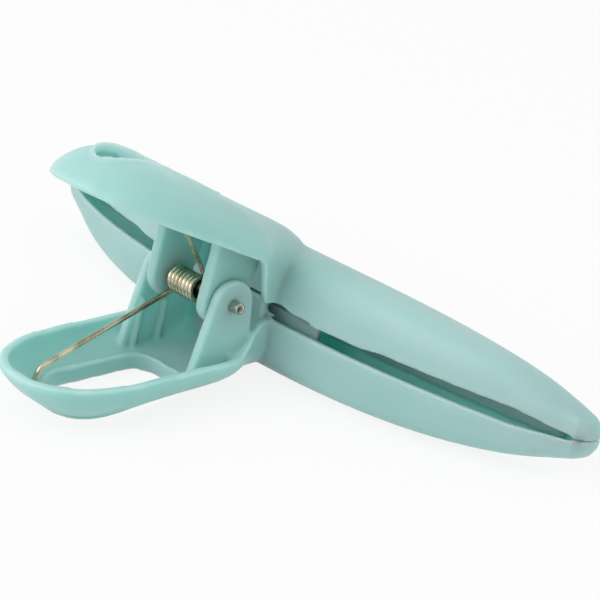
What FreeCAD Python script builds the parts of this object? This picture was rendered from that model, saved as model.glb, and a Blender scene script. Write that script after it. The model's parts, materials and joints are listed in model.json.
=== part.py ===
import FreeCAD
import Part
import math
import os
from FreeCAD import Rotation, Vector

# Wide-jaw spring clothespin. Two moulded shells, each one long hollow jaw, a hub and a
# tub-shaped handle, turn on a steel pin against a torsion spring.
# The shells are drawn round the pin: X along the pin, +Y towards the jaws, +Z from the
# lower shell to the upper one. At the end the whole clip is tipped onto its resting points.

# jaws
jaw_half_length = 85.0      # pin centre to one tip, along X
jaw_depth = 15.5            # rear wall to front lip at the middle
jaw_height = 13.3           # seam to the crown of one jaw
jaw_root = 11.8             # pin to the rear wall at the middle
jaw_sweep = 15.4            # how far the tips sweep forward, square term
jaw_sweep_end = 4.3         # the same, fourth-power term
jaw_square = 3.0            # squareness of the jaw's cross-section
jaw_taper_start = 2.7       # how late the jaw narrows in plan
jaw_taper_end = 0.32        # how blunt it ends in plan
jaw_low_start = 3.0         # the same two for its height
jaw_low_end = 0.55
seam_drop = 1.65            # the jaws meet this far below the pin
seam_gap = 0.2              # between the closed lips
slot_width = 3.3            # open slot between the rear walls
slot_half_length = 80.5
slot_back = 6.0             # the slot's tool starts this far behind the rear wall
slot_past = 1.2             # and ends this far past it
step_half_length = 22.0     # the upper rear edge is relieved over the hub
step_height = 0.5
wall = 1.9                  # shell thickness
lip_width = 3.6             # thickened gripping lip
lip_height = 2.8
lip_half_length = 76.0
groove_width = 0.5          # grip grooves along the lip
groove_depth = 0.35
groove_places = (1.3, 2.4)  # from the front edge of the lip
groove_short = 2.0          # the grooves stop this far before the lip's ends
web_half_length = 22.0      # stiffening web inside each jaw
web_place = 3.2             # rear wall to web
web_thickness = 1.4
web_rise = 0.8              # the lower web stands this far past the seam

# handles
handle_width = 33.6         # across the rim
handle_length = 42.5        # pin to the end of the lower rim
upper_shorter = 2.0         # the upper handle ends this much earlier
handle_round = 20.7         # length over which the end is rounded
handle_depth = 8.96         # rim to floor beside the pin
floor_fall = 4.05           # degrees that the floor falls away from the rim
lower_flare = 0.3           # extra depth of the floor at the end
upper_flare = 2.3
flare_start = 8.0
floor_half_width = 2.2      # flat part of the floor
handle_square = 1.73        # roundness of the handle's side wall
handle_end_square = 2.2     # squareness of the handle's end in plan
handle_end_drop = 2.16      # how fast the side wall drops at the end
hub_front_drop = 0.8        # and at the front of the hub
rim_upright = 0.8           # straight band of the side wall at its rim
lower_rim = 10.8            # pin to rim plane, lower shell
upper_rim = 11.3
lower_tilt = 11.4           # degrees that the rim falls away towards the end
upper_tilt = 13.1
neck_half_width = 12.2      # hub beside the jaws
neck_length = 11.0
neck_start = 1.0            # the rim starts to run up to the jaw's rear edge
lower_neck_end = 11.4
upper_neck_end = 10.4
hub_front = 25.5            # pin to the rounded front of the hub
hub_front_round = 9.0
wall_front = 10.6           # cross wall behind the jaws
wall_front_rise = 0.9       # it stands this far past the pin's plane in the lower shell
wall_front_gap = 0.5        # between the two cross walls
window_near = 3.2           # pin to the near end of the window
lower_window_far = 31.6
upper_window_far = 34.0
window_half_near = 6.7
window_half_far = 8.2
window_corner = 4.2
collar_width = 1.0          # raised edge round the window
collar_inward = 0.9         # it stands this far past the floor's inner face
collar_outward = 0.6        # and this far past the outer one

# hinge
pin_radius = 1.25
pin_half_length = 14.6
pin_rim = 0.25              # rounding at the pin's ends
pin_dimple_radius = 0.75
pin_dimple_depth = 2.0
ear_outer = 12.5            # outer face of the lower shell's ears
ear_thickness = 2.07
ear_radius = 5.3
ear_foot_back = 9.2         # rear edge of the ear at the floor
ear_foot_front = 11.0
ear_edge = 0.5              # rounding of the ears' and lugs' edges
ear_bore_gap = 0.02
gusset_start = 1.5          # the gap from ear to side wall is filled from here forwards
lug_thickness = 2.68        # the upper shell's lugs stand between the ears
lug_gap = 0.25              # lug to ear, along the pin
lug_radius = 5.2
lug_back = 6.9              # rear edge of the lug at the handle
lug_front = 9.6
lug_bore_gap = 0.07
rib_thickness = 1.2
rib_depth = 1.0
rib_places = (-4.6, 1.6)
rib_top = 6.4

# torsion spring
wire = 1.15
coil_radius = 2.4           # to the middle of the wire
coil_turns = 6              # whole turns, before the legs are led off
coil_gap = 0.08             # between turns
coil_side = 0.12            # between the coil and the left lug
coil_sag = 0.4              # the loose coil hangs on the pin
lower_leg_angle = 29.6      # degrees below level
upper_leg_angle = 42.8      # degrees above level
leg_lead = 1.6              # the wire leaves the coil over this length
lower_foot = -30.7          # where the lower leg turns down to the floor
upper_foot = -21.0          # where the upper leg turns up to the floor
foot_gap = 0.1              # from its side to the window's raised edge
upper_hook = 2.6
hook_lean = 15.5            # degrees that the hooked ends lean with the floor
hook_bend = 1.3             # corner to the start of its bend
leg_gap = 0.1               # between a leg's end and the moulding

# how finely the curved forms are drawn
arch_steps = 16
side_steps = 8
band_steps = 24
neck_steps = 8
wire_steps = 8              # places round the wire where its end is measured
jaw_stations = (0, 10, 20, 30, 40, 50, 60, 69, 77, 83, 87.5)
hub_stations = (84, 70, 56, 42, 28, 14)
handle_stations = (0, 16, 32, 46, 58, 69, 78, 84.5)
clear = 10.0                # cutting tools reach this far past what they cut
tall = 60.0                 # more than any form is high


lug_inner = ear_outer - ear_thickness - lug_gap - lug_thickness


def clamp01(t):
    return max(0.0, min(1.0, t))


def smooth(t):
    t = clamp01(t)
    return t * t * (3.0 - 2.0 * t)


def spline(points):
    """Curve through the points, evenly numbered so that a loft through many stays light."""
    count = len(points) - 1
    curve = Part.BSplineCurve()
    curve.interpolate(Points=points, Parameters=[k / count for k in range(count + 1)])
    return curve.toShape()


def rounded_square(angle, power):
    """Point on a rounded square of half-width 1, in the direction of the angle."""
    across = math.cos(angle)
    up = math.sin(angle)
    reach = (abs(across) ** power + abs(up) ** power) ** (-1.0 / power)
    return across * reach, up * reach


def polygon(corners):
    """Straight edges from corner to corner, left open at the end."""
    return [Part.makeLine(start, end) for start, end in zip(corners, corners[1:])]


# ---- forms that both shells share; side is +1 for the upper shell and -1 for the lower

def seam_level(side):
    """Height of one jaw's lip above the pin's plane."""
    return -seam_drop + side * seam_gap / 2.0


def edge_level(side):
    """Height of the jaw's rear edge above the pin's plane, measured away from it."""
    return -side * seam_drop + slot_width / 2.0


def jaw_rear(x):
    u = abs(x) / jaw_half_length
    return jaw_root + jaw_sweep * u ** 2 + jaw_sweep_end * u ** 4


def jaw_narrowing(u):
    """Share of the jaw's full depth that is left at u, 0 at the middle and 1 at the tip."""
    return (1.0 - min(u, 1.0) ** jaw_taper_start) ** jaw_taper_end


def jaw_section(x, inset, skirt, side):
    """Closed wire of the jaw at x, drawn inset from the outer form, with a skirt past the seam."""
    u = min(abs(x) / (jaw_half_length - inset), 1.0)
    narrowing = jaw_narrowing(u)
    depth = (jaw_depth - 2.0 * inset) * narrowing
    height = (jaw_height - inset) * (1.0 - u ** jaw_low_start) ** jaw_low_end
    middle = jaw_rear(x) + jaw_depth / 2.0 * narrowing
    points = []
    for k in range(arch_steps + 1):
        across, up = rounded_square(math.pi * k / arch_steps, jaw_square)
        points.append(Vector(x, middle - across * depth / 2.0, seam_level(side) + side * height * up))
    first = points[0]
    last = points[-1]
    down = Vector(0, 0, -side * skirt)
    corners = [last, first] if skirt == 0.0 else [last, last + down, first + down, first]
    return Part.Wire([spline(points)] + polygon(corners))


def jaw_form(inset, skirt, side):
    """Loft of the jaw from tip to tip, drawn inset from the outer form."""
    shares = [math.sin(math.radians(angle)) for angle in jaw_stations]
    stations = sorted(set([-s for s in shares] + shares))
    reach = jaw_half_length - inset
    return Part.makeLoft([jaw_section(reach * s, inset, skirt, side) for s in stations], True, False)


def rim_plane(y, shell):
    """Height of the rim's plane above the pin's plane, measured away from it."""
    return shell["rim"] - y * math.tan(math.radians(shell["tilt"]))


def rim_level(y, shell):
    """Height of the real edge: the rim's plane, then the neck that runs up to the jaw's rear edge."""
    share = smooth((y - neck_start) / (shell["neck_end"] - neck_start))
    return rim_plane(y, shell) + (edge_level(shell["side"]) - rim_plane(y, shell)) * share


def roof_level(y, shell):
    """Height of the handle's floor, the outer face of the tub, above the pin's plane."""
    fall = math.tan(math.radians(shell["tilt"])) + math.tan(math.radians(floor_fall))
    flare = shell["flare"] * clamp01((-y - flare_start) / (handle_length - flare_start)) ** 2
    return shell["rim"] + handle_depth - y * fall + flare


def handle_half_width(y):
    narrow = smooth(y / neck_length)
    return handle_width / 2.0 + (neck_half_width - handle_width / 2.0) * narrow


def handle_section(y, inset, share, drop, shell):
    """Closed wire of the handle at y: upright skirts, curved side walls and a flat floor."""
    side = shell["side"]
    half = (handle_half_width(y) - inset) * share
    flat = min(floor_half_width - inset / 2.0, half / 2.0)
    base = edge_level(side) - 2.0 * inset
    low = rim_plane(y, shell) + rim_upright
    high = low + (roof_level(y, shell) - inset - low) * share ** drop
    curve = []
    for k in range(side_steps + 1):
        across, up = rounded_square(math.pi / 2.0 * k / side_steps, handle_square)
        curve.append((flat + (half - flat) * across, low + (high - low) * up))
    near = spline([Vector(x, y, side * z) for x, z in curve])
    far = spline([Vector(-x, y, side * z) for x, z in reversed(curve)])
    floor = Part.makeLine(Vector(flat, y, side * high), Vector(-flat, y, side * high))
    corners = [Vector(x, y, side * z) for x, z in ((-half, low), (-half, base), (half, base), (half, low))]
    return Part.Wire([near, floor, far] + polygon(corners))


def handle_form(inset, shell):
    """Loft of the tub from the hub's front to the end of the handle."""
    front = hub_front - hub_front_round
    back = handle_round - shell["length"]
    stations = []
    for angle in hub_stations:
        t = math.sin(math.radians(angle))
        stations.append((front + (hub_front_round - inset) * t, t, hub_front_drop))
    stations += [(neck_length * k / 4.0, 0.0, 1.0) for k in (5, 4, 3, 2, 1, 0)]
    stations += [(back * k / 3.0, 0.0, 1.0) for k in (1, 2)]
    for angle in handle_stations:
        t = math.sin(math.radians(angle))
        stations.append((back - (handle_round - inset) * t, t, handle_end_drop))
    wires = []
    for y, t, drop in stations:
        share = (1.0 - t ** handle_end_square) ** (1.0 / handle_end_square)
        wires.append(handle_section(y, inset, share, drop, shell))
    return Part.makeLoft(wires, True, False)


def rim_cutter(shell):
    """What lies inside the rim's edge: everything between the pin's plane and the rim."""
    side = shell["side"]
    far = -handle_length - clear
    points = []
    for k in range(neck_steps + 1):
        y = neck_start + (shell["neck_end"] - neck_start) * k / neck_steps
        points.append(Vector(0, y, side * rim_level(y, shell)))
    low = side * (edge_level(side) - clear)
    corners = [points[-1], Vector(0, points[-1].y, low), Vector(0, far, low)]
    corners += [Vector(0, far, side * rim_plane(far, shell)), points[0]]
    face = Part.Face(Part.Wire([spline(points)] + polygon(corners)))
    face.translate(Vector(-handle_width, 0, 0))
    return face.extrude(Vector(2.0 * handle_width, 0, 0))


def mirrored(point):
    return Vector(-point.x, point.y, point.z)


def window_prism(shell, grown):
    """Prism over the window's outline: round at the far end, with rounded corners by the hinge."""
    near = grown - window_near
    far_round = window_half_far - shell["window_far"]
    corner = window_corner + grown
    bulge = corner * (1.0 - math.sqrt(0.5))
    lean = (window_half_far - window_half_near) / (-far_round - window_near)
    tip = Vector(0, -shell["window_far"] - grown, 0)
    a = Vector(window_half_near + grown - corner, near, 0)
    middle = Vector(window_half_near + grown - bulge, near - bulge, 0)
    b = Vector(window_half_near + grown + lean * corner, near - corner, 0)
    c = Vector(window_half_far + grown, far_round, 0)
    edges = [
        Part.makeLine(mirrored(a), a),
        Part.Arc(a, middle, b).toShape(),
        Part.makeLine(b, c),
        Part.Arc(c, tip, mirrored(c)).toShape(),
        Part.makeLine(mirrored(c), mirrored(b)),
        Part.Arc(mirrored(b), mirrored(middle), mirrored(a)).toShape(),
    ]
    return Part.Face(Part.Wire(edges)).extrude(Vector(0, 0, shell["side"] * tall))


def window_collar(shell):
    """Raised edge round the window, on both faces of the floor."""
    ring = window_prism(shell, collar_width).common(handle_form(-collar_outward, shell))
    return ring.cut(handle_form(wall + collar_inward, shell))


def jaw_edge(offset, half_length, level, front):
    """Curve beside the jaw's rear edge, or its front edge, at a level."""
    points = []
    for k in range(band_steps + 1):
        x = half_length * (2.0 * k / band_steps - 1.0)
        y = jaw_rear(x) + offset
        if front:
            y += jaw_depth * jaw_narrowing(abs(x) / jaw_half_length)
        points.append(Vector(x, y, level))
    return spline(points)


def band(start, end, half_length, low, high, front=False):
    """Strip that follows the jaw's rear edge, or its front edge, between two offsets."""
    near = jaw_edge(start, half_length, min(low, high), front)
    far = jaw_edge(end, half_length, min(low, high), front)
    edges = [near, far]
    for k in (0, 1):
        edges.append(Part.makeLine(near.Vertexes[k].Point, far.Vertexes[k].Point))
    face = Part.Face(Part.Wire(Part.__sortEdges__(edges)))
    return face.extrude(Vector(0, 0, abs(high - low)))


def slot_cutters(side):
    """Tools that open the rear wall from the seam to the slot's edge, with a round end at each tip."""
    radius = slot_width / 2.0
    straight = slot_half_length - radius
    middle = -seam_drop
    past = wall + slot_past
    tools = [band(-slot_back, past, straight, middle - side * seam_gap, middle + side * radius)]
    for x in (-straight, straight):
        start = Vector(x, jaw_rear(x) - slot_back, middle)
        tools.append(Part.makeCylinder(radius, slot_back + past, start, Vector(0, 1, 0)))
    if side > 0:
        reach = wall + slot_past / 2.0
        step = middle + radius + step_height
        tools.append(band(-slot_back / 2.0, reach, step_half_length, middle, step))
    return tools


def lip_grooves(side):
    seam = seam_level(side)
    grooves = []
    for place in groove_places:
        start = -place - groove_width
        length = lip_half_length - groove_short
        grooves.append(band(start, -place, length, seam - side, seam + side * groove_depth, front=True))
    return grooves


def tangent(point, radius, way):
    """Where the line from a point (y, z) touches a circle round the pin."""
    reach = math.hypot(*point)
    angle = math.atan2(point[1], point[0]) + way * math.acos(radius / reach)
    return (radius * math.cos(angle), radius * math.sin(angle))


def plate(rear_foot, front_foot, foot, radius, x0, x1):
    """Plate across X that widens from a round end about the pin to its foot."""
    way = 1 if foot > 0.0 else -1
    rear = tangent((rear_foot, foot), radius, way)
    front = tangent((front_foot, foot), radius, -way)
    outline = [Vector(x0, y, z) for y, z in (front, (front_foot, foot), (rear_foot, foot), rear)]
    arc = Part.Arc(outline[-1], Vector(x0, 0, -way * radius), outline[0]).toShape()
    solid = Part.Face(Part.Wire([arc] + polygon(outline))).extrude(Vector(x1 - x0, 0, 0))
    rounded = []
    for edge in solid.Edges:
        box = edge.BoundBox
        at_foot = box.ZLength < 0.001 and abs(box.ZMin - foot) < 0.001
        if box.XLength < 0.001 and not at_foot:
            rounded.append(edge)
    return solid.makeFillet(min(ear_edge, (x1 - x0) / 2.5), rounded)


def bore(radius):
    half = ear_outer + clear
    return Part.makeCylinder(radius, 2.0 * half, Vector(-half, 0, 0), Vector(1, 0, 0))


def hinge_room(z0, z1):
    """Box about the pin, between two heights."""
    half = ear_outer + clear
    return Part.makeBox(2.0 * half, 4.0 * clear, z1 - z0, Vector(-half, -2.0 * clear, z0))


def ears(hub, outer):
    """Two cheeks of the lower shell that hold the pin, with ribs inside and a gusset outside."""
    inner = ear_outer - ear_thickness
    foot = -roof_level(0.0, LOWER) - clear
    keep = hub.fuse(hinge_room(-edge_level(-1) - step_height, clear))
    made = []
    for way in (-1, 1):
        near, far = sorted((way * inner, way * ear_outer))
        made.append(plate(-ear_foot_back, ear_foot_front, foot, ear_radius, near, far).common(keep))
        gusset = Part.makeBox(handle_width, wall_front - gusset_start, tall, Vector(0, gusset_start, -tall))
        reach = inner if way > 0 else -inner - handle_width
        gusset.translate(Vector(reach, 0, 0))
        made.append(gusset.common(outer))
        x = min(way * inner, way * (inner - rib_depth))
        for y in rib_places:
            corner = Vector(x, y - rib_thickness / 2.0, foot)
            rib = Part.makeBox(rib_depth, rib_thickness, -foot - rib_top, corner)
            made.append(rib.common(hub))
    return made


def lugs(hub):
    """Two cheeks of the upper shell between the ears."""
    outer = ear_outer - ear_thickness - lug_gap
    foot = roof_level(0.0, UPPER) + clear
    keep = hub.fuse(hinge_room(-clear, edge_level(1) + step_height))
    made = []
    for way in (-1, 1):
        near, far = sorted((way * lug_inner, way * outer))
        made.append(plate(-lug_back, lug_front, foot, lug_radius, near, far).common(keep))
    return made


def cross_wall(side, outer):
    """Wall behind the jaws; the lower one stands up between the lugs."""
    low = wall_front_rise - tall if side < 0 else wall_front_rise + wall_front_gap
    corner = Vector(-neck_half_width, wall_front, low)
    made = [Part.makeBox(2.0 * neck_half_width, wall, tall, corner).common(outer)]
    if side < 0:
        half = neck_half_width - wall - wall_front_gap
        foot = seam_level(side) - slot_width
        corner = Vector(-half, wall_front, foot)
        made.append(Part.makeBox(2.0 * half, wall, wall_front_rise - foot, corner))
    return made


def shell_solid(shell):
    """One moulded shell: jaw, hub and tub, hollowed, with its lip, web and cross wall."""
    side = shell["side"]
    seam = seam_level(side)
    jaw = jaw_form(0.0, 0.0, side)
    hub = handle_form(0.0, shell)
    outer = jaw.fuse(hub.cut(rim_cutter(shell)))
    body = outer.cut(handle_form(wall, shell)).cut(jaw_form(wall, clear / 2.0, side))
    lip = band(-lip_width, clear / 2.0, lip_half_length, seam, seam + side * lip_height, front=True)
    web_end = web_place + web_thickness
    web = band(web_place, web_end, web_half_length, seam + web_rise, side * tall).common(outer)
    inside = [lip.common(jaw), web]
    if side < 0:
        inside.append(band(web_place, web_end, web_half_length, seam - slot_width, seam + web_rise))
    inside.append(window_collar(shell))
    body = body.fuse(inside)
    for tool in slot_cutters(side) + [window_prism(shell, 0.0)] + lip_grooves(side):
        body = body.cut(tool)
    body = body.fuse(cross_wall(side, outer) + (ears(hub, outer) if side < 0 else lugs(hub)))
    return body.cut(bore(pin_radius + (ear_bore_gap if side < 0 else lug_bore_gap)))


def pin_solid():
    along = Vector(1, 0, 0)
    pin = Part.makeCylinder(pin_radius, 2.0 * pin_half_length, along * -pin_half_length, along)
    pin = pin.makeFillet(pin_rim, [e for e in pin.Edges if e.BoundBox.XLength < 0.001])
    for way in (-1, 1):
        start = along * (way * pin_half_length)
        pin = pin.cut(Part.makeCylinder(pin_dimple_radius, pin_dimple_depth, start, along * -way))
    return pin


# ---- torsion spring, drawn as it sits with the jaws shut

def wire_section(point, way):
    return Part.Wire([Part.Circle(point, way, wire / 2.0).toShape()])


def wire_turn(point, way, degrees):
    """Half a turn of the coil or less, from a point on it, and where and which way it ends."""
    inward = Vector(0, -way.z, way.y)
    across = inward * (2.0 * coil_radius) + Vector((wire + coil_gap) / 2.0, 0, 0)
    centre = point + across * 0.5
    axis = way.cross(across)
    solid = Part.Face(wire_section(point, way)).revolve(centre, axis, degrees)
    turn = Rotation(axis, degrees)
    return solid, centre + turn.multVec(point - centre), turn.multVec(way)


def wire_run(points, reaches):
    """Straight wire through the points, with a bend of its own reach at each corner."""
    pieces = []
    start = points[0]
    for before, corner, after, reach in zip(points, points[1:], points[2:], reaches):
        way = (corner - before).normalize()
        next_way = (after - corner).normalize()
        half = way.getAngle(next_way) / 2.0
        first = corner - way * reach
        centre = corner + (next_way - way).normalize() * (reach / math.sin(half))
        bend = Part.Face(wire_section(first, way))
        pieces.append(Part.makeCylinder(wire / 2.0, (first - start).Length, start, way))
        pieces.append(bend.revolve(centre, way.cross(next_way), math.degrees(2.0 * half)))
        start = corner + next_way * reach
    way = points[-1] - start
    return pieces + [Part.makeCylinder(wire / 2.0, way.Length, start, way)]


def free_run(body, start, way):
    """How far the wire's end can go from start along way before it meets the body."""
    runs = []
    for spot in wire_section(start, way).discretize(Number=wire_steps + 1):
        ray = Part.makeLine(spot, spot + way * tall)
        runs.append(Part.Vertex(spot).distToShape(ray.common(body))[0])
    return min(runs) - leg_gap


def hook_way(side):
    lean = math.radians(hook_lean)
    return Vector(0, -math.sin(lean), side * math.cos(lean))


def spring_solid(lower, upper):
    """Close coil on the pin with a hooked leg to each handle."""
    low = math.radians(lower_leg_angle)
    x = -lug_inner + coil_side + wire / 2.0
    point = Vector(x, coil_radius * math.sin(low), -coil_radius * math.cos(low) - coil_sag)
    way = Vector(0, math.cos(low), math.sin(low))
    corner = point - way * ((point.y - lower_foot) / way.y)
    end = corner + hook_way(-1) * free_run(lower, corner, hook_way(-1))
    pieces = wire_run([end, corner, point], [hook_bend])
    last_turn = 180.0 - lower_leg_angle - upper_leg_angle
    for degrees in [180.0] * (2 * coil_turns) + [last_turn]:
        solid, point, way = wire_turn(point, way, degrees)
        pieces.append(solid)
    beside = window_half_far + collar_width + foot_gap + wire / 2.0
    below = Vector(beside, upper_foot, 0)
    end = below + hook_way(1) * free_run(upper, below, hook_way(1))
    corner = end - hook_way(1) * upper_hook
    pieces += wire_run([point, point + way * leg_lead, corner, end], [leg_lead / 2.0, hook_bend])
    return pieces[0].fuse(pieces[1:])


# ---- the resting position

def lowest(points, angle, front):
    """Lowest point of the jaws, or of the handle, once the clip is tipped by the angle."""
    sine = math.sin(angle)
    cosine = math.cos(angle)
    return min(p.z * cosine - p.y * sine for p in points if (p.y > 0.0) == front)


def resting_angle(points):
    """Tip at which the lower jaw and the lower handle reach equally far down."""
    small = 0.0
    large = math.radians(40.0)
    for _ in range(40):
        middle = (small + large) / 2.0
        if lowest(points, middle, True) > lowest(points, middle, False):
            small = middle
        else:
            large = middle
    return (small + large) / 2.0


def surface_points(shape):
    return shape.tessellate(0.05)[0]


LOWER = {"side": -1, "rim": lower_rim, "tilt": lower_tilt, "length": handle_length,
         "neck_end": lower_neck_end, "flare": lower_flare, "window_far": lower_window_far}
UPPER = {"side": 1, "rim": upper_rim, "tilt": upper_tilt, "length": handle_length - upper_shorter,
         "neck_end": upper_neck_end, "flare": upper_flare, "window_far": upper_window_far}

lower_jaw = shell_solid(LOWER)
upper_jaw = shell_solid(UPPER)
nodes = {
    "lower_jaw": lower_jaw,
    "upper_jaw": upper_jaw,
    "pivot_pin": pin_solid(),
    "torsion_spring": spring_solid(lower_jaw, upper_jaw),
}

tip = resting_angle(surface_points(lower_jaw))
corners = []
for solid in nodes.values():
    solid.rotate(Vector(0, 0, 0), Vector(1, 0, 0), -math.degrees(tip))
    corners += surface_points(solid)
lengthwise = [p.y for p in corners]
shift = Vector(0, -(min(lengthwise) + max(lengthwise)) / 2.0, -min(p.z for p in corners))
print("tipped by", math.degrees(tip), "degrees, pin at", shift)

os.makedirs("parts", exist_ok=True)
for name, solid in nodes.items():
    solid.translate(shift)
    print(name, solid.ShapeType, len(solid.Solids), solid.isValid(), solid.Volume)
    solid.exportStep("parts/" + name + ".step")
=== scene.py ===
import json
import math
import bpy
import numpy as np
from mathutils import Matrix, Vector


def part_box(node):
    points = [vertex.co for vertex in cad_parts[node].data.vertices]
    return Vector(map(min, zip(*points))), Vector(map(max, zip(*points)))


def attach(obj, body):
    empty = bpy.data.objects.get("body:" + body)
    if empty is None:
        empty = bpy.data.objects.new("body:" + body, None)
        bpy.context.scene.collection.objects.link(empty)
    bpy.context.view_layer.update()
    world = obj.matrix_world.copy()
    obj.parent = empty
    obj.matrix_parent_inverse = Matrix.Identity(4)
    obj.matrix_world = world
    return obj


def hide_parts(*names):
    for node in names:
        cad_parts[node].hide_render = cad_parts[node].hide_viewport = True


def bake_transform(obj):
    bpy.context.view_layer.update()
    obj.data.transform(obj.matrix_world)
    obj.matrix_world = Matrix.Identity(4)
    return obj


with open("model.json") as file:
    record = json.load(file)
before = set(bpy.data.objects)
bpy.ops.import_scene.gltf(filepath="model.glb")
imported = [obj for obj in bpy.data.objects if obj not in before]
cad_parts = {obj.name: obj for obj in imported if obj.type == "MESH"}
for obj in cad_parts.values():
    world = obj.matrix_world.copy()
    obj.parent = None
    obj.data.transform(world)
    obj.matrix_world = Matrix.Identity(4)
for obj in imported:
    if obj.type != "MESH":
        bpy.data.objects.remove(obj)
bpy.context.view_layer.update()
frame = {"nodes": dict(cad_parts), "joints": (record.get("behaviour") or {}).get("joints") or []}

# Wide-jaw clothespin: the moulded shells are refined copies of the frame's own, and the pin and
# the spring are made here about the hinge. Lengths are in metres, or in mm where a note says so.

mm = 0.001
hinge = Vector(frame["joints"][0]["pos_m"])
print("frame loaded, hinge at", tuple(hinge))


# small tools

def deselectAll():
    if bpy.context.mode != "OBJECT":
        bpy.ops.object.mode_set(mode="OBJECT")
    bpy.ops.object.select_all(action="DESELECT")


def makeActive(obj):
    deselectAll()
    obj.select_set(True)
    bpy.context.view_layer.objects.active = obj


def applyModifier(obj, kind, **values):
    # adds a modifier, sets it and applies it at once
    makeActive(obj)
    modifier = obj.modifiers.new(kind.lower(), kind)
    for key, value in values.items():
        setattr(modifier, key, value)
    bpy.ops.object.modifier_apply(modifier=modifier.name)


def srgb(red, green, blue):
    # screen colour 0-255 to the linear colour that a shader takes
    linear = []
    for value in (red, green, blue):
        share = value / 255.0
        linear.append(share / 12.92 if share <= 0.04045 else ((share + 0.055) / 1.055) ** 2.4)
    return (*linear, 1.0)


# camera

camera = {
    "place": (0.37125862, -0.30106942, 0.22606119),
    "turn": (66.56740511, -3.60447153, 49.47358547),   # degrees
    "lens": 150.0577,
    "sensor": 36.0,
    "nearest": 0.01,
}

bpy.ops.object.camera_add(location=camera["place"], rotation=[math.radians(a) for a in camera["turn"]])
cameraObject = bpy.context.object
cameraObject.name = "camera"
cameraObject.data.lens = camera["lens"]
cameraObject.data.sensor_width = camera["sensor"]
cameraObject.data.clip_start = camera["nearest"]
bpy.context.scene.camera = cameraObject
print("camera set")


# floor, world and lamps

studio = {
    "floorSize": 6.0,
    "floorColour": (245, 245, 245),
    "floorRoughness": 0.9,
    "floorShine": 0.1,
    "floorShows": 0.86,        # how much of the floor's plain white the camera sees over its shadow
    "worldColour": (255, 255, 255),
    "worldLight": 0.69,
    "keyPlace": (-0.3, -0.95, 0.8),
    "keySize": 1.0,
    "keyPower": 6.9,
    "fillPlace": (0.9, 0.5, 0.8),
    "fillSize": 1.0,
    "fillPower": 1.5,
}


def seenDirectly(nodes, links):
    # 1 where the camera, a reflection or a view through something meets the surface
    path = nodes.new("ShaderNodeLightPath")
    first = nodes.new("ShaderNodeMath")
    first.operation = "MAXIMUM"
    links.new(path.outputs["Is Camera Ray"], first.inputs[0])
    links.new(path.outputs["Is Glossy Ray"], first.inputs[1])
    second = nodes.new("ShaderNodeMath")
    second.operation = "MAXIMUM"
    links.new(first.outputs[0], second.inputs[0])
    links.new(path.outputs["Is Transmission Ray"], second.inputs[1])
    return second.outputs[0]


def buildWorld():
    world = bpy.context.scene.world or bpy.data.worlds.new("world")
    bpy.context.scene.world = world
    world.use_nodes = True
    nodes = world.node_tree.nodes
    links = world.node_tree.links
    nodes.clear()
    out = nodes.new("ShaderNodeOutputWorld")
    shown = nodes.new("ShaderNodeBackground")
    shown.inputs["Color"].default_value = srgb(*studio["worldColour"])
    shown.inputs["Strength"].default_value = 1.0
    lighting = nodes.new("ShaderNodeBackground")
    lighting.inputs["Color"].default_value = srgb(*studio["worldColour"])
    lighting.inputs["Strength"].default_value = studio["worldLight"]
    mix = nodes.new("ShaderNodeMixShader")
    links.new(seenDirectly(nodes, links), mix.inputs[0])
    links.new(lighting.outputs[0], mix.inputs[1])
    links.new(shown.outputs[0], mix.inputs[2])
    links.new(mix.outputs[0], out.inputs["Surface"])


def addLamp(name, place, size, power):
    bpy.ops.object.light_add(type="AREA", location=place)
    lamp = bpy.context.object
    lamp.name = name
    lamp.data.size = size
    lamp.data.energy = power
    lamp.rotation_euler = (Vector(place) - hinge).to_track_quat("Z", "Y").to_euler()


def buildFloor():
    # pale floor: the camera sees mostly plain white, with the object's soft shadow in it
    deselectAll()
    bpy.ops.mesh.primitive_plane_add(size=studio["floorSize"], location=(0, 0, 0))
    floor = bpy.context.object
    floor.name = "floor"
    material = bpy.data.materials.new("paleFloor")
    material.use_nodes = True
    nodes = material.node_tree.nodes
    links = material.node_tree.links
    shader = nodes["Principled BSDF"]
    shader.inputs["Base Color"].default_value = srgb(*studio["floorColour"])
    shader.inputs["Roughness"].default_value = studio["floorRoughness"]
    shader.inputs["Specular IOR Level"].default_value = studio["floorShine"]
    white = nodes.new("ShaderNodeEmission")
    white.inputs["Color"].default_value = srgb(*studio["worldColour"])
    white.inputs["Strength"].default_value = 1.0
    share = nodes.new("ShaderNodeMath")
    share.operation = "MULTIPLY"
    share.inputs[1].default_value = studio["floorShows"]
    links.new(seenDirectly(nodes, links), share.inputs[0])
    mix = nodes.new("ShaderNodeMixShader")
    links.new(share.outputs[0], mix.inputs[0])
    links.new(shader.outputs[0], mix.inputs[1])
    links.new(white.outputs[0], mix.inputs[2])
    links.new(mix.outputs[0], nodes["Material Output"].inputs["Surface"])
    floor.data.materials.append(material)


buildWorld()
addLamp("keyLamp", studio["keyPlace"], studio["keySize"], studio["keyPower"])
addLamp("fillLamp", studio["fillPlace"], studio["fillSize"], studio["fillPower"])
buildFloor()
bpy.context.scene.view_settings.view_transform = "Standard"
print("studio built")


# effects that several materials use

def newGroup(name, inputs, outputs):
    group = bpy.data.node_groups.new(name, "ShaderNodeTree")
    for label, kind, value in inputs:
        socket = group.interface.new_socket(name=label, in_out="INPUT", socket_type=kind)
        socket.default_value = value
    for label, kind in outputs:
        group.interface.new_socket(name=label, in_out="OUTPUT", socket_type=kind)
    start = group.nodes.new("NodeGroupInput")
    end = group.nodes.new("NodeGroupOutput")
    return group, start, end


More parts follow.
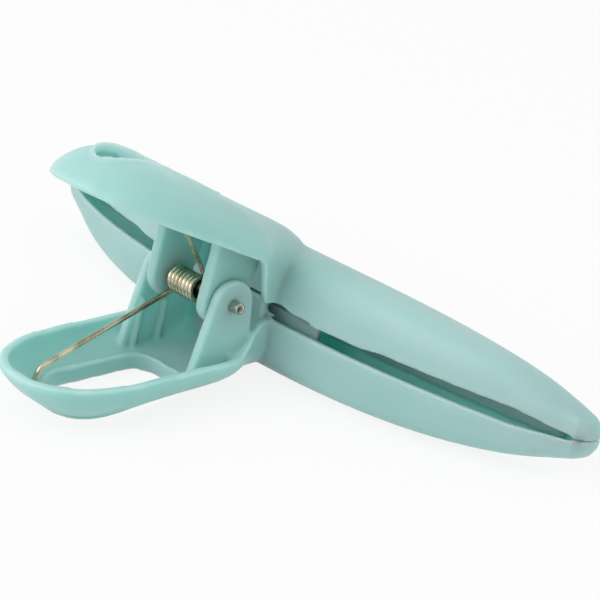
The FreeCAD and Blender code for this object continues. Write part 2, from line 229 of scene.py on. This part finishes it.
def noiseNode(tree, vector, scale, detail, roughness):
    noise = tree.nodes.new("ShaderNodeTexNoise")
    noise.inputs["Detail"].default_value = detail
    noise.inputs["Roughness"].default_value = roughness
    tree.links.new(vector, noise.inputs["Vector"])
    tree.links.new(scale, noise.inputs["Scale"])
    return noise.outputs["Fac"]


def rangeNode(tree, value, low, high, newLow=0.0, newHigh=1.0):
    node = tree.nodes.new("ShaderNodeMapRange")
    node.interpolation_type = "SMOOTHSTEP"
    for key, number in (("From Min", low), ("From Max", high), ("To Min", newLow), ("To Max", newHigh)):
        node.inputs[key].default_value = number
    tree.links.new(value, node.inputs["Value"])
    return node.outputs["Result"]


def mixColour(tree, factor, first, second):
    node = tree.nodes.new("ShaderNodeMix")
    node.data_type = "RGBA"
    for socket, value in ((node.inputs[0], factor), (node.inputs[6], first), (node.inputs[7], second)):
        if isinstance(value, bpy.types.NodeSocket):
            tree.links.new(value, socket)
        else:
            socket.default_value = value
    return node.outputs[2]


def attributeNode(tree, name):
    node = tree.nodes.new("ShaderNodeAttribute")
    node.attribute_type = "GEOMETRY"
    node.attribute_name = name
    return node.outputs["Fac"]


# painted light by the surface's bend: a painted highlight on outer edges, broken up by noise, and painted
# shade in inner corners
paintedBendLight = {
    "edge": (0.18, 0.85),        # bend in 1/mm where the painted highlight on an outer edge starts, and where it is full
    "crease": (-0.75, -0.12),    # bend where the painted shade in an inner corner is full, and where it stops
    "detail": 4.0,
    "roughness": 0.5,
    "noise": (0.3, 0.6),         # this stretch of the noise thins the paler look,
    "thinned": (0.7, 1.0),       # from this share of it to all of it
}


def buildEdgeGroup():
    # masks for a painted highlight on outer edges and for painted shade in inner corners, from the piece's
    # own bend
    inputs = [("Breakup Scale", "NodeSocketFloat", 900.0)]
    outputs = [("Edge Highlight", "NodeSocketFloat"), ("Crease Shade", "NodeSocketFloat")]
    group, start, end = newGroup("edgeHighlightAndCreaseShade", inputs, outputs)
    bend = attributeNode(group, "bend")
    place = group.nodes.new("ShaderNodeTexCoord").outputs["Object"]
    breakup = noiseNode(group, place, start.outputs["Breakup Scale"], paintedBendLight["detail"], paintedBendLight["roughness"])
    broken = group.nodes.new("ShaderNodeMath")
    broken.operation = "MULTIPLY"
    group.links.new(rangeNode(group, bend, *paintedBendLight["edge"]), broken.inputs[0])
    group.links.new(rangeNode(group, breakup, *paintedBendLight["noise"], *paintedBendLight["thinned"]), broken.inputs[1])
    group.links.new(broken.outputs[0], end.inputs["Edge Highlight"])
    group.links.new(rangeNode(group, bend, *paintedBendLight["crease"], 1.0, 0.0), end.inputs["Crease Shade"])
    return group


grain = {
    "fineDetail": 3.0,
    "fineRoughness": 0.6,
    "slowDetail": 3.0,
    "slowRoughness": 0.45,
}


def buildGrainGroup():
    # fine surface texture: height for a bump, and a slow change of tone
    inputs = [("Fine Scale", "NodeSocketFloat", 5200.0), ("Slow Scale", "NodeSocketFloat", 28.0)]
    outputs = [("Height", "NodeSocketFloat"), ("Tone", "NodeSocketFloat")]
    group, start, end = newGroup("surfaceGrain", inputs, outputs)
    place = group.nodes.new("ShaderNodeTexCoord").outputs["Object"]
    fine = noiseNode(group, place, start.outputs["Fine Scale"], grain["fineDetail"], grain["fineRoughness"])
    slow = noiseNode(group, place, start.outputs["Slow Scale"], grain["slowDetail"], grain["slowRoughness"])
    group.links.new(fine, end.inputs["Height"])
    group.links.new(slow, end.inputs["Tone"])
    return group


edgeHighlightAndCreaseShade = buildEdgeGroup()
surfaceGrain = buildGrainGroup()


def useGroup(tree, group, **values):
    node = tree.nodes.new("ShaderNodeGroup")
    node.node_tree = group
    for key, value in values.items():
        node.inputs[key.replace("_", " ")].default_value = value
    return node


def bumpNode(tree, height, strength, distance):
    bump = tree.nodes.new("ShaderNodeBump")
    bump.inputs["Strength"].default_value = strength
    bump.inputs["Distance"].default_value = distance
    tree.links.new(height, bump.inputs["Height"])
    return bump.outputs["Normal"]


# moulded plastic

plastic = {
    "colour": (167, 206, 203),
    "deepColour": (158, 200, 195),
    # painted highlight colour for outer edges, and painted shade colour for inner corners
    "edgeHighlightColour": (181, 219, 211),
    "creaseShadeColour": (140, 188, 180),
    "toneRange": (0.35, 0.65),
    "roughness": (0.38, 0.50),
    "roughRange": (0.3, 0.7),
    "fineScale": 4200.0,
    "slowScale": 26.0,
    "breakupScale": 500.0,
    "grainDepth": 0.02 * mm,
    "grainStrength": 0.2,
    "refraction": 1.49,
    "share": 1.0,                 # of the light that goes into the wall
    "depth": 6.0 * mm,            # how far it goes
    "reach": (0.62, 1.0, 0.94),   # share of that depth for red, green and blue
}


def buildPlastic(name, paintedLift):
    material = bpy.data.materials.new(name)
    material.use_nodes = True
    tree = material.node_tree
    shader = tree.nodes["Principled BSDF"]
    texture = useGroup(tree, surfaceGrain, Fine_Scale=plastic["fineScale"], Slow_Scale=plastic["slowScale"])
    masks = useGroup(tree, edgeHighlightAndCreaseShade, Breakup_Scale=plastic["breakupScale"])
    tone = rangeNode(tree, texture.outputs["Tone"], *plastic["toneRange"])
    # paintedLift is painted light: it makes a copy of the same plastic lighter for the better-lit shell
    first = [c + paintedLift for c in plastic["colour"]]
    body = mixColour(tree, tone, srgb(*first), srgb(*plastic["deepColour"]))
    # painted shade darkens the inner corners, then a painted highlight pales the outer edges
    creaseShaded = mixColour(tree, masks.outputs["Crease Shade"], body, srgb(*plastic["creaseShadeColour"]))
    edgeHighlighted = mixColour(tree, masks.outputs["Edge Highlight"], creaseShaded, srgb(*plastic["edgeHighlightColour"]))
    rough = rangeNode(tree, texture.outputs["Tone"], *plastic["roughRange"], *plastic["roughness"])
    bump = bumpNode(tree, texture.outputs["Height"], plastic["grainStrength"], plastic["grainDepth"])
    tree.links.new(edgeHighlighted, shader.inputs["Base Color"])
    tree.links.new(rough, shader.inputs["Roughness"])
    tree.links.new(bump, shader.inputs["Normal"])
    shader.inputs["IOR"].default_value = plastic["refraction"]
    shader.inputs["Subsurface Weight"].default_value = plastic["share"]
    shader.inputs["Subsurface Radius"].default_value = plastic["reach"]
    shader.inputs["Subsurface Scale"].default_value = plastic["depth"]
    return material


# steel

steel = {
    "wireColour": (208, 197, 172),
    "wireDark": (150, 138, 116),
    "pinColour": (214, 211, 206),
    "pinDark": (158, 154, 148),
    "dimpleShadeColour": (128, 116, 104),
    "dimpleShadeRange": (0.2, 0.8),
    "wireStreaks": 3000.0,
    "pinStreaks": 2600.0,
    "slowScale": 240.0,
    "toneRange": (0.35, 0.7),
    "roughness": (0.17, 0.3),
    "roughRange": (0.3, 0.7),
    "grainStrength": 0.2,
    "grainDepth": 0.01 * mm,
}


def buildSteel(name, bright, dark, streakScale):
    material = bpy.data.materials.new(name)
    material.use_nodes = True
    tree = material.node_tree
    shader = tree.nodes["Principled BSDF"]
    texture = useGroup(tree, surfaceGrain, Fine_Scale=streakScale, Slow_Scale=steel["slowScale"])
    tone = rangeNode(tree, texture.outputs["Tone"], *steel["toneRange"])
    body = mixColour(tree, tone, srgb(*bright), srgb(*dark))
    # painted shade: the pin's dimples are darkened where their recess lies in shadow
    dimple = rangeNode(tree, attributeNode(tree, "dimple"), *steel["dimpleShadeRange"])
    dimpleShaded = mixColour(tree, dimple, body, srgb(*steel["dimpleShadeColour"]))
    rough = rangeNode(tree, texture.outputs["Height"], *steel["roughRange"], *steel["roughness"])
    bump = bumpNode(tree, texture.outputs["Height"], steel["grainStrength"], steel["grainDepth"])
    shader.inputs["Metallic"].default_value = 1.0
    tree.links.new(dimpleShaded, shader.inputs["Base Color"])
    tree.links.new(rough, shader.inputs["Roughness"])
    tree.links.new(bump, shader.inputs["Normal"])
    return material


mintLower = buildPlastic("mintLower", 0)
# the upper shell gets a copy painted two steps lighter, as painted light
mintUpper = buildPlastic("mintUpper", 2)
springSteel = buildSteel("springSteel", steel["wireColour"], steel["wireDark"], steel["wireStreaks"])
pinSteel = buildSteel("pinSteel", steel["pinColour"], steel["pinDark"], steel["pinStreaks"])
print("materials built")


# the two shells: copies of the frame's meshes with softened edges

shell = {
    "voxel": 0.42 * mm,
    "quickVoxel": 0.8 * mm,
    "weld": 0.001 * mm,
    "soften": 0.5,
    "softenRounds": 6,
    "mostTriangles": 190000,
    "bendRounds": 3,
    "bendKept": 0.4,             # a point keeps this share of its own bend in each round
}


def readPoints(mesh, collection, key):
    values = np.empty(len(collection) * 3)
    collection.foreach_get(key, values)
    return values.reshape(-1, 3)


def placePoints(mesh, places):
    mesh.vertices.foreach_set("co", places.ravel())
    mesh.update()


def smoothStep(values, low, high):
    share = np.clip((values - low) / (high - low), 0.0, 1.0)
    return share * share * (3.0 - 2.0 * share)


def bandShare(values, start, full, last, end):
    # 0 outside the band from start to end, 1 between full and last
    return smoothStep(values, start, full) * (1.0 - smoothStep(values, last, end))


def markBends(piece):
    # stores on each point the sum of the surface's two bends there, in 1/mm, outer edges above zero
    mesh = piece.data
    places = readPoints(mesh, mesh.vertices, "co")
    normals = readPoints(mesh, mesh.vertices, "normal")
    ends = np.empty(len(mesh.edges) * 2, dtype=np.int64)
    mesh.edges.foreach_get("vertices", ends)
    first, second = ends.reshape(-1, 2).T
    count = len(places)
    degree = np.maximum(np.bincount(first, minlength=count) + np.bincount(second, minlength=count), 1)

    def around(values):
        total = np.bincount(first, values[second], count) + np.bincount(second, values[first], count)
        return total / degree

    middle = np.stack([around(places[:, k]) for k in range(3)], axis=1)
    edgeSquare = np.sum((places[first] - places[second]) ** 2, axis=1).mean()
    # a bend is about four times a point's height over its neighbours, by the square of their distance
    bend = 4.0 * np.sum((places - middle) * normals, axis=1) / edgeSquare * mm
    kept = shell["bendKept"]
    for _ in range(shell["bendRounds"]):
        bend = kept * bend + (1.0 - kept) * around(bend)
    attribute = mesh.attributes.new("bend", "FLOAT", "POINT")
    attribute.data.foreach_set("value", bend.astype(np.float32))
    print(piece.name, "bend", np.percentile(bend, [1, 10, 50, 90, 99]).round(2))


crown = {
    "along": (-28, -24, -20, -16, -12, 20),              # mm along the upper handle
    "height": (51.8, 53.9, 54.9, 54.9, 53.8, 32.7),      # mm, top of its roof there
    "flat": 2.2 * mm,            # the roof falls away from here,
    "half": 17.0 * mm,           # to its full drop here
    "power": 1.73,
    "drop": 8.7 * mm,
    "openEdge": 9.8 * mm,        # side of the window's raised edge in the frame
    "drawnIn": 6.6 * mm,         # and here, so that the roof's crown hides most of the opening
    "fixedFrom": 15.0 * mm,      # the roof further out stays
    "sink": 0.35 * mm,           # the raised edge is a little lower,
    "sinkFade": 2.0 * mm,        # and the roof beside it over this stretch
    "fadeUnder": (2.4 * mm, 4.2 * mm),                   # below the roof's top: full, none
    "fadeAlong": (-28.5 * mm, -24.5 * mm, 8 * mm, 12 * mm),
}


def crownDrop(across):
    share = np.clip(across - crown["flat"], 0.0, None) / (crown["half"] - crown["flat"])
    return crown["drop"] * share ** crown["power"]


def drawWindowIn(piece):
    # draws the upper window's long sides towards the middle along the crowned roof
    mesh = piece.data
    places = readPoints(mesh, mesh.vertices, "co")
    x, y, z = places.T
    top = np.interp(y, np.array(crown["along"]) * mm, np.array(crown["height"]) * mm)
    weight = 1.0 - smoothStep(top - z, *crown["fadeUnder"])
    weight *= bandShare(y, *crown["fadeAlong"])
    across = np.abs(x)
    edge, newEdge, fixed = crown["openEdge"], crown["drawnIn"], crown["fixedFrom"]
    outer = newEdge + (across - edge) * ((fixed - newEdge) / (fixed - edge))
    inner = across * newEdge / edge
    moved = np.where(across < edge, inner, np.minimum(outer, across))
    moved = across + (moved - across) * weight
    lift = crownDrop(across) - crownDrop(moved)
    lift -= crown["sink"] * weight * (1.0 - smoothStep(moved, newEdge, newEdge + crown["sinkFade"]))
    places[:, 0] = np.sign(x) * moved
    places[:, 2] = z + lift
    placePoints(mesh, places)


valley = {
    "across": (9, 13, 20, 26),       # mm from the middle: fade in, full, full, fade out
    "along": (11, 15, 27, 33),       # mm
    "above": (25, 29),               # mm, the jaw's lower rim stays as it is
    "rounds": 160,
    "least": 0.01,                   # share under which a point is left alone
}


def softenValley(piece):
    # rounds the meeting of the handle's hub with the jaw more broadly
    mesh = piece.data
    x, y, z = readPoints(mesh, mesh.vertices, "co").T / mm
    weight = bandShare(np.abs(x), *valley["across"])
    weight *= bandShare(y, *valley["along"])
    weight *= smoothStep(z, *valley["above"])
    group = piece.vertex_groups.new(name="valley")
    for index in np.nonzero(weight > valley["least"])[0]:
        group.add([int(index)], float(weight[index]), "REPLACE")
    applyModifier(piece, "SMOOTH", factor=shell["soften"], iterations=valley["rounds"],
                  vertex_group="valley")
    piece.vertex_groups.clear()


# all in mm, measured in the jaws' own plane
slotEnd = {
    "slope": 13.794634,              # degrees between the jaws' plane and level
    "seam": 1.65,                    # the jaws' meeting plane under the pin
    "from": 69.0,                    # the stretch begins this far along the jaw
    "old": 80.5,                     # where the slot's round end is in the frame
    "new": 83.1,                     # and here
    "jawEnd": 84.9,
    "narrow": 0.62,                  # share of the slot's height that goes
    "narrowest": 82.4,               # from here on it fades, the tip itself keeps its height
    "narrowReach": (2.2, 3.8),       # from the seam: full, none
    "stretchReach": (2.5, 7.0),
}

rim = {
    "down": 0.7,                     # how far the upper jaw's rear rim comes down beside the hub
    "along": (13, 17, 34, 42),       # fade in, full, full, fade out
    "height": (2.6, 9.0),            # over the seam: full, none
    "depth": (16.5, 19.0),           # ahead of the pin: full, none
}


def drawSlotOut(piece, isUpper):
    # runs the slot on towards the jaws' tips and narrows it there, and brings the upper jaw's rim down
    mesh = piece.data
    places = readPoints(mesh, mesh.vertices, "co") / mm
    turn = math.radians(slotEnd["slope"])
    ahead = places[:, 1] - hinge.y / mm
    above = places[:, 2] - hinge.z / mm
    along = ahead * math.cos(turn) - above * math.sin(turn)
    height = ahead * math.sin(turn) + above * math.cos(turn) + slotEnd["seam"]
    stretched = 1.0 - smoothStep(np.abs(height), *slotEnd["stretchReach"])
    narrowed = slotEnd["narrow"] * (1.0 - smoothStep(np.abs(height), *slotEnd["narrowReach"]))

    across = np.abs(places[:, 0])
    old = (0.0, slotEnd["from"], slotEnd["old"], slotEnd["jawEnd"])
    new = (0.0, slotEnd["from"], slotEnd["new"], slotEnd["jawEnd"])
    moved = np.where(across > slotEnd["jawEnd"], across, np.interp(across, old, new))
    moved = across + (moved - across) * stretched
    narrowest = slotEnd["narrowest"]
    narrowed *= bandShare(moved, slotEnd["from"], narrowest, narrowest, slotEnd["jawEnd"])
    height *= 1.0 - narrowed
    if isUpper:
        weight = bandShare(across, *rim["along"]) * (height > 0.0)
        weight *= 1.0 - smoothStep(height, *rim["height"])
        weight *= 1.0 - smoothStep(along, *rim["depth"])
        height -= rim["down"] * weight

    height -= slotEnd["seam"]
    places[:, 0] = np.sign(places[:, 0]) * moved
    places[:, 1] = along * math.cos(turn) + height * math.sin(turn) + hinge.y / mm
    places[:, 2] = height * math.cos(turn) - along * math.sin(turn) + hinge.z / mm
    placePoints(mesh, places * mm)


lugs = {
    "across": (6.9, 7.3, 10.5, 10.9),    # mm from the middle: fade in, full, full, fade out
    "behind": (2.0, 5.5),                # mm behind the pin: none, full
    "height": (36, 41),                  # mm: full, none
    "back": (0.6, 1.3),                  # mm that the left and the right lug's rear edge moves
}


def moveLugsBack(piece):
    # the rear edges of the lugs stand a little further back than in the frame
    mesh = piece.data
    places = readPoints(mesh, mesh.vertices, "co") / mm
    x, y, z = places.T
    weight = bandShare(np.abs(x), *lugs["across"])
    weight *= smoothStep(hinge.y / mm - y, *lugs["behind"])
    weight *= 1.0 - smoothStep(z, *lugs["height"])
    left, right = lugs["back"]
    places[:, 1] -= weight * np.where(x > 0.0, right, left)
    placePoints(mesh, places * mm)


def refineShell(node, name, body, material):
    makeActive(frame["nodes"][node])
    bpy.ops.object.duplicate()
    piece = bpy.context.object
    piece.name = name
    for key in list(piece.keys()):     # the copy isn't one of the frame's own
        del piece[key]
    piece.parent = None
    piece.matrix_world = Matrix.Identity(4)
    makeActive(piece)
    bpy.ops.object.mode_set(mode="EDIT")
    bpy.ops.mesh.select_all(action="SELECT")
    bpy.ops.mesh.remove_doubles(threshold=shell["weld"])
    bpy.ops.object.mode_set(mode="OBJECT")
    voxel = shell["voxel"]
    applyModifier(piece, "REMESH", mode="VOXEL", voxel_size=voxel, use_smooth_shade=True)
    isUpper = body == "upper"
    drawSlotOut(piece, isUpper)
    if isUpper:
        moveLugsBack(piece)
        drawWindowIn(piece)
        softenValley(piece)
    applyModifier(piece, "SMOOTH", factor=shell["soften"], iterations=shell["softenRounds"])
    triangles = 2 * len(piece.data.polygons)
    if triangles > shell["mostTriangles"]:
        applyModifier(piece, "DECIMATE", ratio=shell["mostTriangles"] / triangles)
    markBends(piece)
    piece.data.materials.clear()
    piece.data.materials.append(material)
    makeActive(piece)
    bpy.ops.object.shade_smooth()
    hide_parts(node)
    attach(piece, body)
    print(name, "has", len(piece.data.polygons), "faces")
    return piece


lowerShell = refineShell("lower_jaw", "lowerShell", "lower", mintLower)
upperShell = refineShell("upper_jaw", "upperShell", "upper", mintUpper)


# pin: a turned rod with a rolled rim and a dimple in each end

pin = {
    "sides": 64,
    "rim": 0.48 * mm,          # flat ring round the dimple
    "rimRound": 0.16 * mm,
    "dimpleDepth": 0.35 * mm,
    "dimpleFloor": 0.55,       # size of the dimple's floor beside its mouth
    "rimFineness": 4,
    "rimAngle": 25,            # degrees, edges sharper than this are rounded
    "shadeAngle": 40,
    "facing": 0.9,             # least share of a normal that points along the rod
}


def selectEnd(mesh, side):
    # selects the face that looks along the rod on one side
    for face in mesh.polygons:
        face.select = face.normal.x * side > pin["facing"]


def buildPin():
    low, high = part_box("pivot_pin")
    radius = (high[1] - low[1]) / 2.0
    middle = [(a + b) / 2.0 for a, b in zip(low, high)]
    deselectAll()
    bpy.ops.mesh.primitive_cylinder_add(vertices=pin["sides"], radius=radius, depth=high[0] - low[0],
                                        location=middle, rotation=(0, math.pi / 2.0, 0))
    bpy.ops.object.transform_apply(location=True, rotation=True, scale=True)
    piece = bpy.context.object
    piece.name = "pinRod"
    for side in (-1, 1):
        bpy.ops.object.mode_set(mode="EDIT")
        bpy.ops.mesh.select_mode(type="FACE")
        bpy.ops.mesh.select_all(action="DESELECT")
        bpy.ops.object.mode_set(mode="OBJECT")
        selectEnd(piece.data, side)
        bpy.ops.object.mode_set(mode="EDIT")
        bpy.ops.mesh.inset(thickness=pin["rim"])
        bpy.ops.mesh.extrude_region_move(TRANSFORM_OT_translate={"value": (-side * pin["dimpleDepth"], 0, 0)})
        shrink = pin["dimpleFloor"]
        bpy.ops.transform.resize(value=(1, shrink, shrink))
    bpy.ops.object.mode_set(mode="OBJECT")
    applyModifier(piece, "BEVEL", width=pin["rimRound"], segments=pin["rimFineness"],
                  limit_method="ANGLE", angle_limit=math.radians(pin["rimAngle"]))
    # marks each dimple's mouth, where the pin's material paints shade
    attribute = piece.data.attributes.new("dimple", "FLOAT", "POINT")
    mouth = radius - pin["rim"] - 0.5 * pin["rimRound"]
    for point, value in zip(piece.data.vertices, attribute.data):
        off = Vector((0, point.co.y - hinge.y, point.co.z - hinge.z)).length
        value.value = 1.0 if off < mouth else 0.0
    piece.data.materials.append(pinSteel)
    makeActive(piece)
    bpy.ops.object.shade_smooth_by_angle(angle=math.radians(pin["shadeAngle"]))
    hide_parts("pivot_pin")
    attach(piece, "lower")
    return piece


pinRod = buildPin()
print("pin made")


# torsion spring

spring = {
    "wire": 1.15 * mm,
    "coilRadius": 2.4 * mm,      # to the middle of the wire
    "pitch": 1.17 * mm,
    "turns": 7,
    "start": -6.805 * mm,        # along the pin, where the lower leg leaves
    "sag": (-0.095 * mm, -0.388 * mm),   # the loose coil hangs on the pin
    "lowerAngle": 15.805,        # degrees, slope of the lower leg
    "upperAngle": 56.595,        # degrees, slope of the upper leg where it leaves the coil
    "lowerRun": 36.67 * mm,      # from the coil to the corner of its hook
    "lowerLean": 29.295,         # degrees that a hook leans back from upright
    "upperLean": 1.705,
    "upperHook": 2.6 * mm,
    "upperFoot": (9.875 * mm, -9.0 * mm, 24.865 * mm),   # a point under the upper hook
    "upperTop": 45.9 * mm,       # height of the upper hook's end
    "bend": 1.3 * mm,            # from a corner to where its bend begins
    "lead": 1.6 * mm,            # from the coil to the upper leg's first bend
    "cornerPull": 0.55,          # length of a bend's handles beside its reach
    "knotsPerTurn": 8,
    "fineAlong": 6,
    "fineAround": 5,
    "weld": 0.0005 * mm,
    "shadeAngle": 50,            # degrees
}


def addKnot(knots, place, way, before, after):
    knots.append((place, place - way * before, place + way * after))


def addCorner(knots, back, corner, ahead, reach):
    # a bend of the wire at a corner between two straight runs
    wayIn = (corner - back).normalized()
    wayOut = (ahead - corner).normalized()
    runIn = (corner - back).length - reach
    runOut = (ahead - corner).length - reach
    pull = spring["cornerPull"] * reach
    addKnot(knots, corner - wayIn * reach, wayIn, runIn / 3.0, pull)
    addKnot(knots, corner + wayOut * reach, wayOut, pull, runOut / 3.0)


def springKnots():
    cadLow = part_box("torsion_spring")[0]
    low = math.radians(spring["lowerAngle"])
    high = math.radians(spring["upperAngle"])
    middle = hinge + Vector((0, *spring["sag"]))
    radius = spring["coilRadius"]

    def coilPoint(angle, x):
        return Vector((x, middle.y + radius * math.sin(angle), middle.z - radius * math.cos(angle)))

    # lower hook and leg
    begin = coilPoint(low, spring["start"])
    wayLower = Vector((0, math.cos(low), math.sin(low)))
    corner = begin - wayLower * spring["lowerRun"]
    lean = math.radians(spring["lowerLean"])
    hook = Vector((0, -math.sin(lean), -math.cos(lean)))
    foot = cadLow[2] + spring["wire"] / 2.0 * math.sin(lean)
    end = corner + hook * ((foot - corner.z) / hook.z)
    knots = []
    third = ((end - corner).length - spring["bend"]) / 3.0
    addKnot(knots, end, -hook, third, third)
    addCorner(knots, end, corner, begin, spring["bend"])

    # coil
    step = 2.0 * math.pi / spring["knotsPerTurn"]
    whole = 2.0 * math.pi * spring["turns"] + math.pi - low - high
    count = round(whole / step)
    step = whole / count
    handle = 4.0 / 3.0 * math.tan(step / 4.0) * radius      # makes the curve between two knots an arc
    rise = spring["pitch"] * step / (2.0 * math.pi)
    for k in range(count + 1):
        angle = low + k * step
        way = Vector((rise / (step * radius), math.cos(angle), math.sin(angle))).normalized()
        place = coilPoint(angle, spring["start"] + k * rise)
        before = (spring["lowerRun"] - spring["bend"]) / 3.0 if k == 0 else handle
        after = spring["lead"] / 6.0 if k == count else handle
        if k == 0:
            way = wayLower
        addKnot(knots, place, way, before, after)
    finish = place
    wayUpper = Vector((0, -math.cos(high), math.sin(high)))

    # upper leg and hook
    lean = math.radians(spring["upperLean"])
    hook = Vector((0, -math.sin(lean), math.cos(lean)))
    under = Vector(spring["upperFoot"])
    end = under + hook * ((spring["upperTop"] - under.z) / hook.z)
    corner = end - hook * spring["upperHook"]
    lead = finish + wayUpper * spring["lead"]
    addCorner(knots, finish, lead, corner, spring["lead"] / 2.0)
    addCorner(knots, lead, corner, end, spring["bend"])
    third = ((end - corner).length - spring["bend"]) / 3.0
    addKnot(knots, end, hook, third, third)
    return knots, finish.x


def buildSpring():
    knots, endX = springKnots()
    deselectAll()
    bpy.ops.curve.primitive_bezier_curve_add(location=(0, 0, 0))
    piece = bpy.context.object
    piece.name = "springWire"
    curve = piece.data
    spline = curve.splines[0]
    spline.bezier_points.add(len(knots) - len(spline.bezier_points))
    for knot, (place, left, right) in zip(spline.bezier_points, knots):
        knot.handle_left_type = "FREE"
        knot.handle_right_type = "FREE"
        knot.co = place
        knot.handle_left = left
        knot.handle_right = right
    curve.resolution_u = spring["fineAlong"]
    curve.bevel_depth = spring["wire"] / 2.0
    curve.bevel_resolution = spring["fineAround"]
    curve.use_fill_caps = True
    makeActive(piece)
    bpy.ops.object.convert(target="MESH")
    piece = bpy.context.object
    bpy.ops.object.mode_set(mode="EDIT")
    bpy.ops.mesh.select_all(action="SELECT")
    bpy.ops.mesh.remove_doubles(threshold=spring["weld"])
    bpy.ops.mesh.normals_make_consistent(inside=False)
    bpy.ops.object.mode_set(mode="OBJECT")
    piece.data.materials.clear()
    piece.data.materials.append(springSteel)
    bpy.ops.object.shade_smooth_by_angle(angle=math.radians(spring["shadeAngle"]))
    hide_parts("torsion_spring")
    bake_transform(piece)
    print("spring has", len(piece.data.polygons), "faces, coil ends at", round(endX / mm, 2), "mm")
    return piece


springWire = buildSpring()
print("spring made")
